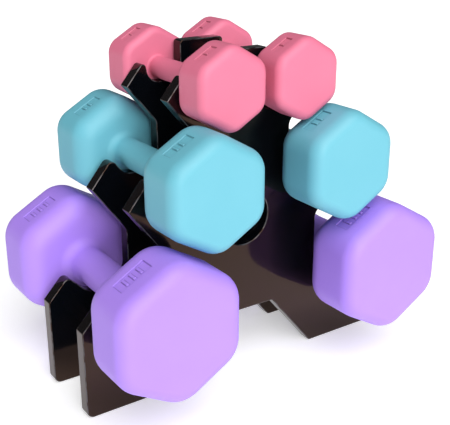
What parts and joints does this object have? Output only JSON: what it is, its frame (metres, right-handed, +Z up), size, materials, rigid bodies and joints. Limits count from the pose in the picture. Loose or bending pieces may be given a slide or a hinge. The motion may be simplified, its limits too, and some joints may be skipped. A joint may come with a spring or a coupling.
{
  "type": "dumbbell rack",
  "caption": "Free-standing rack of two cradle plates on spacers, holding light, medium and heavy vinyl-coated hexagonal dumbbells in stepped pairs.",
  "frame": {"origin": "on the floor, midway between the two plates and on the centre line", "axes": "+X to the right seen from the front, -Y towards the front, +Z up; the handles run along Y"},
  "size_m": [0.254, 0.182, 0.2344],
  "materials": {
    "plate": "gloss black",
    "spacer": "satin black",
    "screw": "black oxide",
    "iron": "as cast",
    "light_vinyl": "soft matte pink vinyl",
    "medium_vinyl": "soft matte blue vinyl",
    "heavy_vinyl": "soft matte purple vinyl"
  },
  "bodies": {
    "rack": {"front_plate": "plate", "rear_plate": "plate", "spacer_top": "spacer", "spacer_mid": "spacer", "spacer_foot_left": "spacer", "spacer_foot_right": "spacer", "screws_front": "screw", "screws_rear": "screw"},
    "light_left": {"light_left_core": "iron", "light_left_coat": "light_vinyl"},
    "light_right": {"light_right_core": "iron", "light_right_coat": "light_vinyl"},
    "medium_left": {"medium_left_core": "iron", "medium_left_coat": "medium_vinyl"},
    "medium_right": {"medium_right_core": "iron", "medium_right_coat": "medium_vinyl"},
    "heavy_left": {"heavy_left_core": "iron", "heavy_left_coat": "heavy_vinyl"},
    "heavy_right": {"heavy_right_core": "iron", "heavy_right_coat": "heavy_vinyl"}
  },
  "joints": [
    {"name": "light_left_lift", "type": "slide", "parent": "rack", "child": "light_left", "axis": [0, 0, 1], "range_m": [0, 0.11]},
    {"name": "light_right_lift", "type": "slide", "parent": "rack", "child": "light_right", "axis": [0, 0, 1], "range_m": [0, 0.11]},
    {"name": "medium_left_lift", "type": "slide", "parent": "rack", "child": "medium_left", "axis": [-0.8192, 0, 0.5736], "range_m": [0, 0.12]},
    {"name": "medium_right_lift", "type": "slide", "parent": "rack", "child": "medium_right", "axis": [0.8192, 0, 0.5736], "range_m": [0, 0.12]},
    {"name": "heavy_left_lift", "type": "slide", "parent": "rack", "child": "heavy_left", "axis": [-0.8192, 0, 0.5736], "range_m": [0, 0.12]},
    {"name": "heavy_right_lift", "type": "slide", "parent": "rack", "child": "heavy_right", "axis": [0.8192, 0, 0.5736], "range_m": [0, 0.12]}
  ]
}
